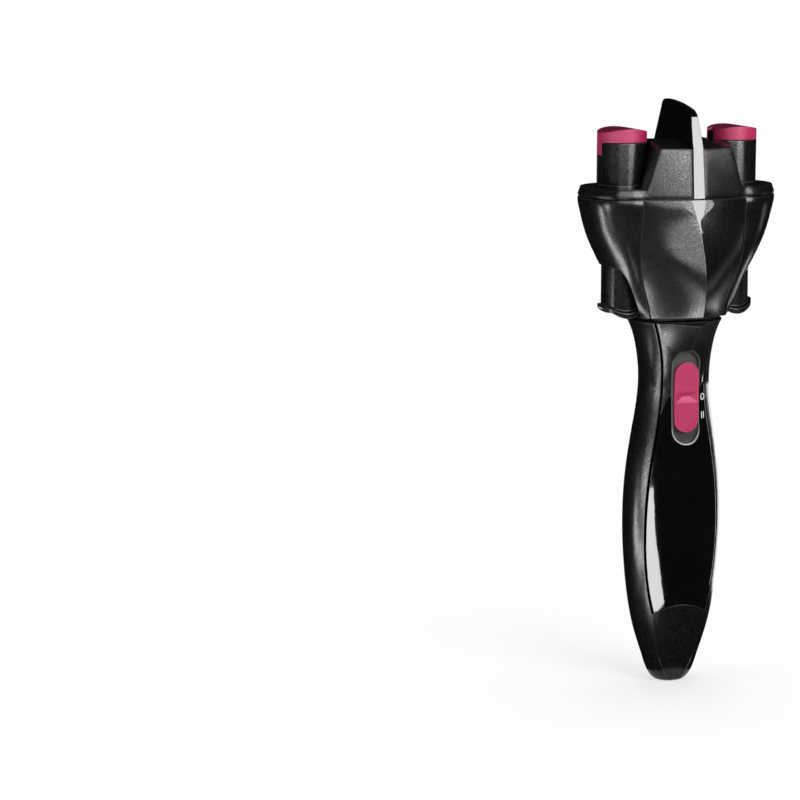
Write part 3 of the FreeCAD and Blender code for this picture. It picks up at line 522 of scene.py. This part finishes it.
def table_card(name, height, strength, outline):
    """Lit polygon that lies flat at a height."""
    bright_card(name, [(x, y, height) for x, y in outline], strength)


def wall_card(name, radius, start, stop, low, high, strength):
    """Upright lit card between two bearings, counted in degrees from the front, + to the right."""
    (x0, y0), (x1, y1) = [(radius * math.sin(math.radians(bearing)),
                           -radius * math.cos(math.radians(bearing)))
                          for bearing in (start, stop)]
    bright_card(name, [(x0, y0, low), (x1, y1, low), (x1, y1, high), (x0, y0, high)], strength)


dark_card("dome", [(2.0, 0.35), (2.0, 1.2), (1.6, 1.9), (0.8, 2.3), (0.01, 2.4)], 0, 360)
dark_card("table_card", [(0.012, 0.0015), (2.0, 0.0015), (2.0, 0.35)], 0, 360)

# These light the gloss panel's left strip, the left pod and the left of the front pieces.
table_card("table_stripe", 0.003, 13.0, (
    (-0.018, -0.072), (-0.038, -0.098), (-0.066, -0.135), (-0.13, -0.2), (-0.26, -0.335),
    (-0.55, -0.6), (-0.8, -0.5), (-0.4, -0.2), (-0.19, -0.105), (-0.1, -0.056), (-0.05, -0.04)))
table_card("table_left", 0.0022, 17.0, (
    (-0.649, -0.034), (-0.378, -0.04), (-0.235, -0.05), (-0.192, -0.085),
    (-0.174, -0.207), (-0.127, -0.141), (-0.135, -0.039), (-0.22, 0.008),
    (-0.379, 0.027), (-0.65, 0.023)))
wall_card("left_wall", 0.5, -73, -52, 0.003, 0.1, 16.0)

# These light the tower, the heads and the fin's strip.
wall_card("front_box", 0.4, -38, 6, 0.21, 0.75, 6.0)
wall_card("front_box_right", 0.4, 6, 34, 0.19, 0.75, 13.0)

# These light the right edges of the handle and the right pod.
wall_card("right_near", 0.13, 108, 122, 0.003, 0.12, 5.0)
wall_card("right_behind", 0.13, 122, 168, 0.003, 0.12, 2.2)
wall_card("right_rim", 0.6, 140, 170, 0.003, 0.13, 4.0)
table_card("pod_rim", 0.129, 3.5, (
    (0.118, -0.006), (0.145, -0.008), (0.146, 0.018), (0.141, 0.038), (0.114, 0.031)))
table_card("pod_rim_high", 0.129, 3.0, (
    (0.245, -0.052), (0.284, -0.06), (0.29, 0.005), (0.25, 0.004)))

# Flags round the neck keep the light of the low cards off the pieces above them.
dark_card("flag_right", [(0.021, 0.128), (0.2, 0.128)], -30, 85)
dark_card("flag_left", [(0.022, 0.128), (0.055, 0.128)], 170, 210)
dark_card("flag_low", [(0.0215, 0.1275), (0.036, 0.1275)], 215, 270)
dark_card("flag_front", [(0.056, 0.13), (0.35, 0.13)], 205, 230)

softbox("key", (-1.25, 0.1, 0.45), (0, 0, 0.13), 0.5, 1.1, 4)
softbox("fill", (0.45, -1.25, 0.75), (0, 0, 0.15), 0.8, 0.8, 13)
softbox("top", (0.1, 0.2, 1.3), (0, 0, 0.2), 0.6, 0.6, 6)
